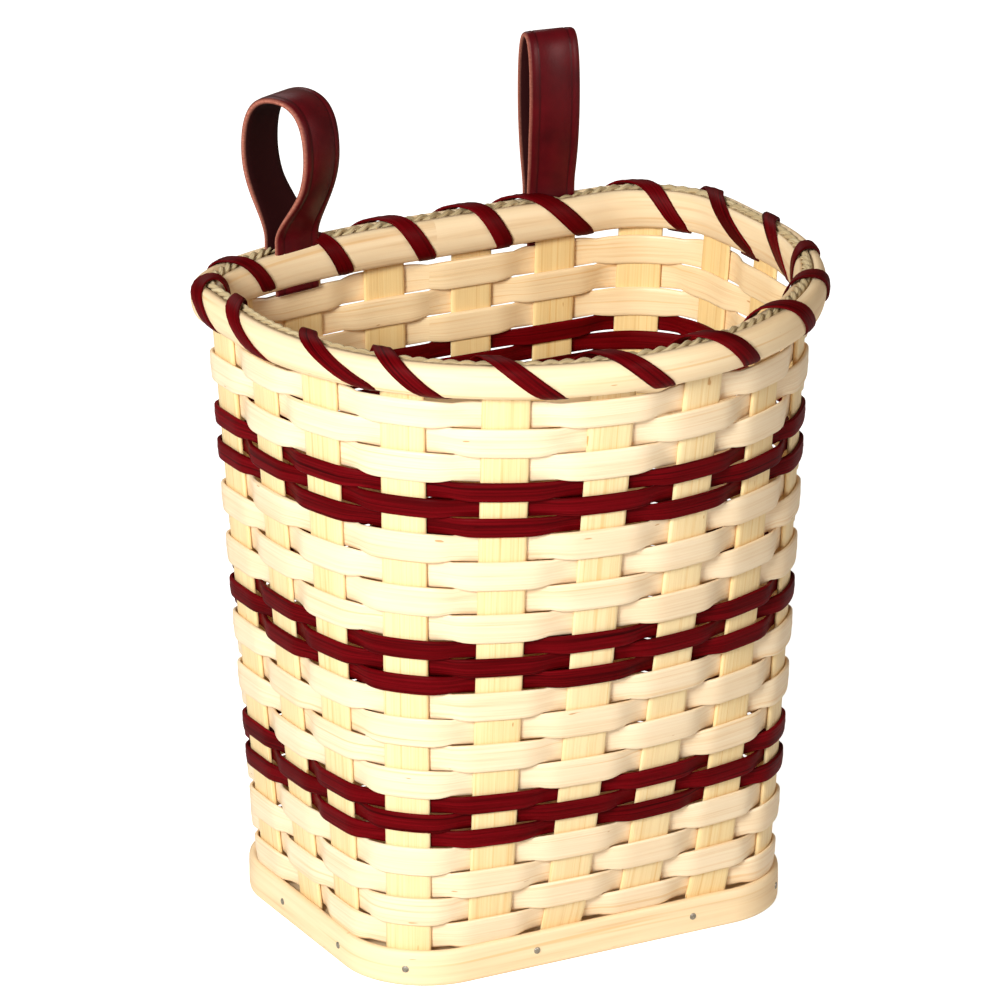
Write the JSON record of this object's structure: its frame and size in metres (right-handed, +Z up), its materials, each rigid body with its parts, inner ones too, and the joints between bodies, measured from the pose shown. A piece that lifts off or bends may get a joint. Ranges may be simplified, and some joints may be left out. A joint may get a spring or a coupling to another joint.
{
  "type": "berry basket",
  "caption": "Small belt-worn berry basket of woven flat reed with red stripes, a wooden base, a lashed rim and leather belt loops.",
  "frame": {"origin": "centre of the underside of the base, on the surface it stands on", "axes": "+Z up, +X to the right as seen from the rounded front, +Y from the rounded front to the flat back that carries the belt loops"},
  "size_m": [0.2143, 0.1808, 0.29],
  "materials": {
    "natural_reed": "matte natural flat reed",
    "red_reed": "satin dyed flat reed",
    "pale_wood": "smooth unvarnished wood",
    "seagrass": "twisted dry grass rope",
    "leather": "smooth, slightly glossy",
    "nail_steel": "plain wire nail"
  },
  "bodies": {
    "basket": {"base_band": "pale_wood", "base_board": "pale_wood", "base_nail_01": "nail_steel", "base_nail_02": "nail_steel", "base_nail_03": "nail_steel", "base_nail_04": "nail_steel", "base_nail_05": "nail_steel", "base_nail_06": "nail_steel", "base_nail_07": "nail_steel", "belt_loop_left_tail": "leather", "belt_loop_right_tail": "leather", "rim_filler": "seagrass", "rim_inner_band": "pale_wood", "rim_lashing": "red_reed", "rim_outer_band": "pale_wood", "stake_01": "natural_reed", "stake_02": "natural_reed", "stake_03": "natural_reed", "stake_04": "natural_reed", "stake_05": "natural_reed", "stake_06": "natural_reed", "stake_07": "natural_reed", "stake_08": "natural_reed", "stake_09": "natural_reed", "stake_10": "natural_reed", "stake_11": "natural_reed", "stake_12": "natural_reed", "stake_13": "natural_reed", "stake_14": "natural_reed", "stake_15": "natural_reed", "stake_16": "natural_reed", "stake_17": "natural_reed", "stake_18": "natural_reed", "weaver_01_natural": "natural_reed", "weaver_02_natural": "natural_reed", "weaver_03_natural": "natural_reed", "weaver_04_red": "red_reed", "weaver_05_red": "red_reed", "weaver_06_red": "red_reed", "weaver_07_natural": "natural_reed", "weaver_08_natural": "natural_reed", "weaver_09_natural": "natural_reed", "weaver_10_natural": "natural_reed", "weaver_11_red": "red_reed", "weaver_12_red": "red_reed", "weaver_13_red": "red_reed", "weaver_14_natural": "natural_reed", "weaver_15_natural": "natural_reed", "weaver_16_natural": "natural_reed", "weaver_17_natural": "natural_reed", "weaver_18_red": "red_reed", "weaver_19_red": "red_reed", "weaver_20_red": "red_reed", "weaver_21_natural": "natural_reed", "weaver_22_natural": "natural_reed", "weaver_23_natural": "natural_reed", "weaver_24_natural": "natural_reed", "weaver_rim_row": "natural_reed"},
    "left_loop": {"belt_loop_left": "leather"},
    "right_loop": {"belt_loop_right": "leather"}
  },
  "joints": [
    {"name": "left_loop_flex", "type": "hinge", "parent": "basket", "child": "left_loop", "pos_m": [-0.04907, 0.05442, 0.23253], "axis": [0.985, 0.1724, 0], "range_deg": [-40, 40], "stiffness_Nm_per_rad": 0.03},
    {"name": "right_loop_flex", "type": "hinge", "parent": "basket", "child": "right_loop", "pos_m": [0.04969, 0.0626, 0.23253], "axis": [1, 0, 0], "range_deg": [-40, 40], "stiffness_Nm_per_rad": 0.03}
  ]
}
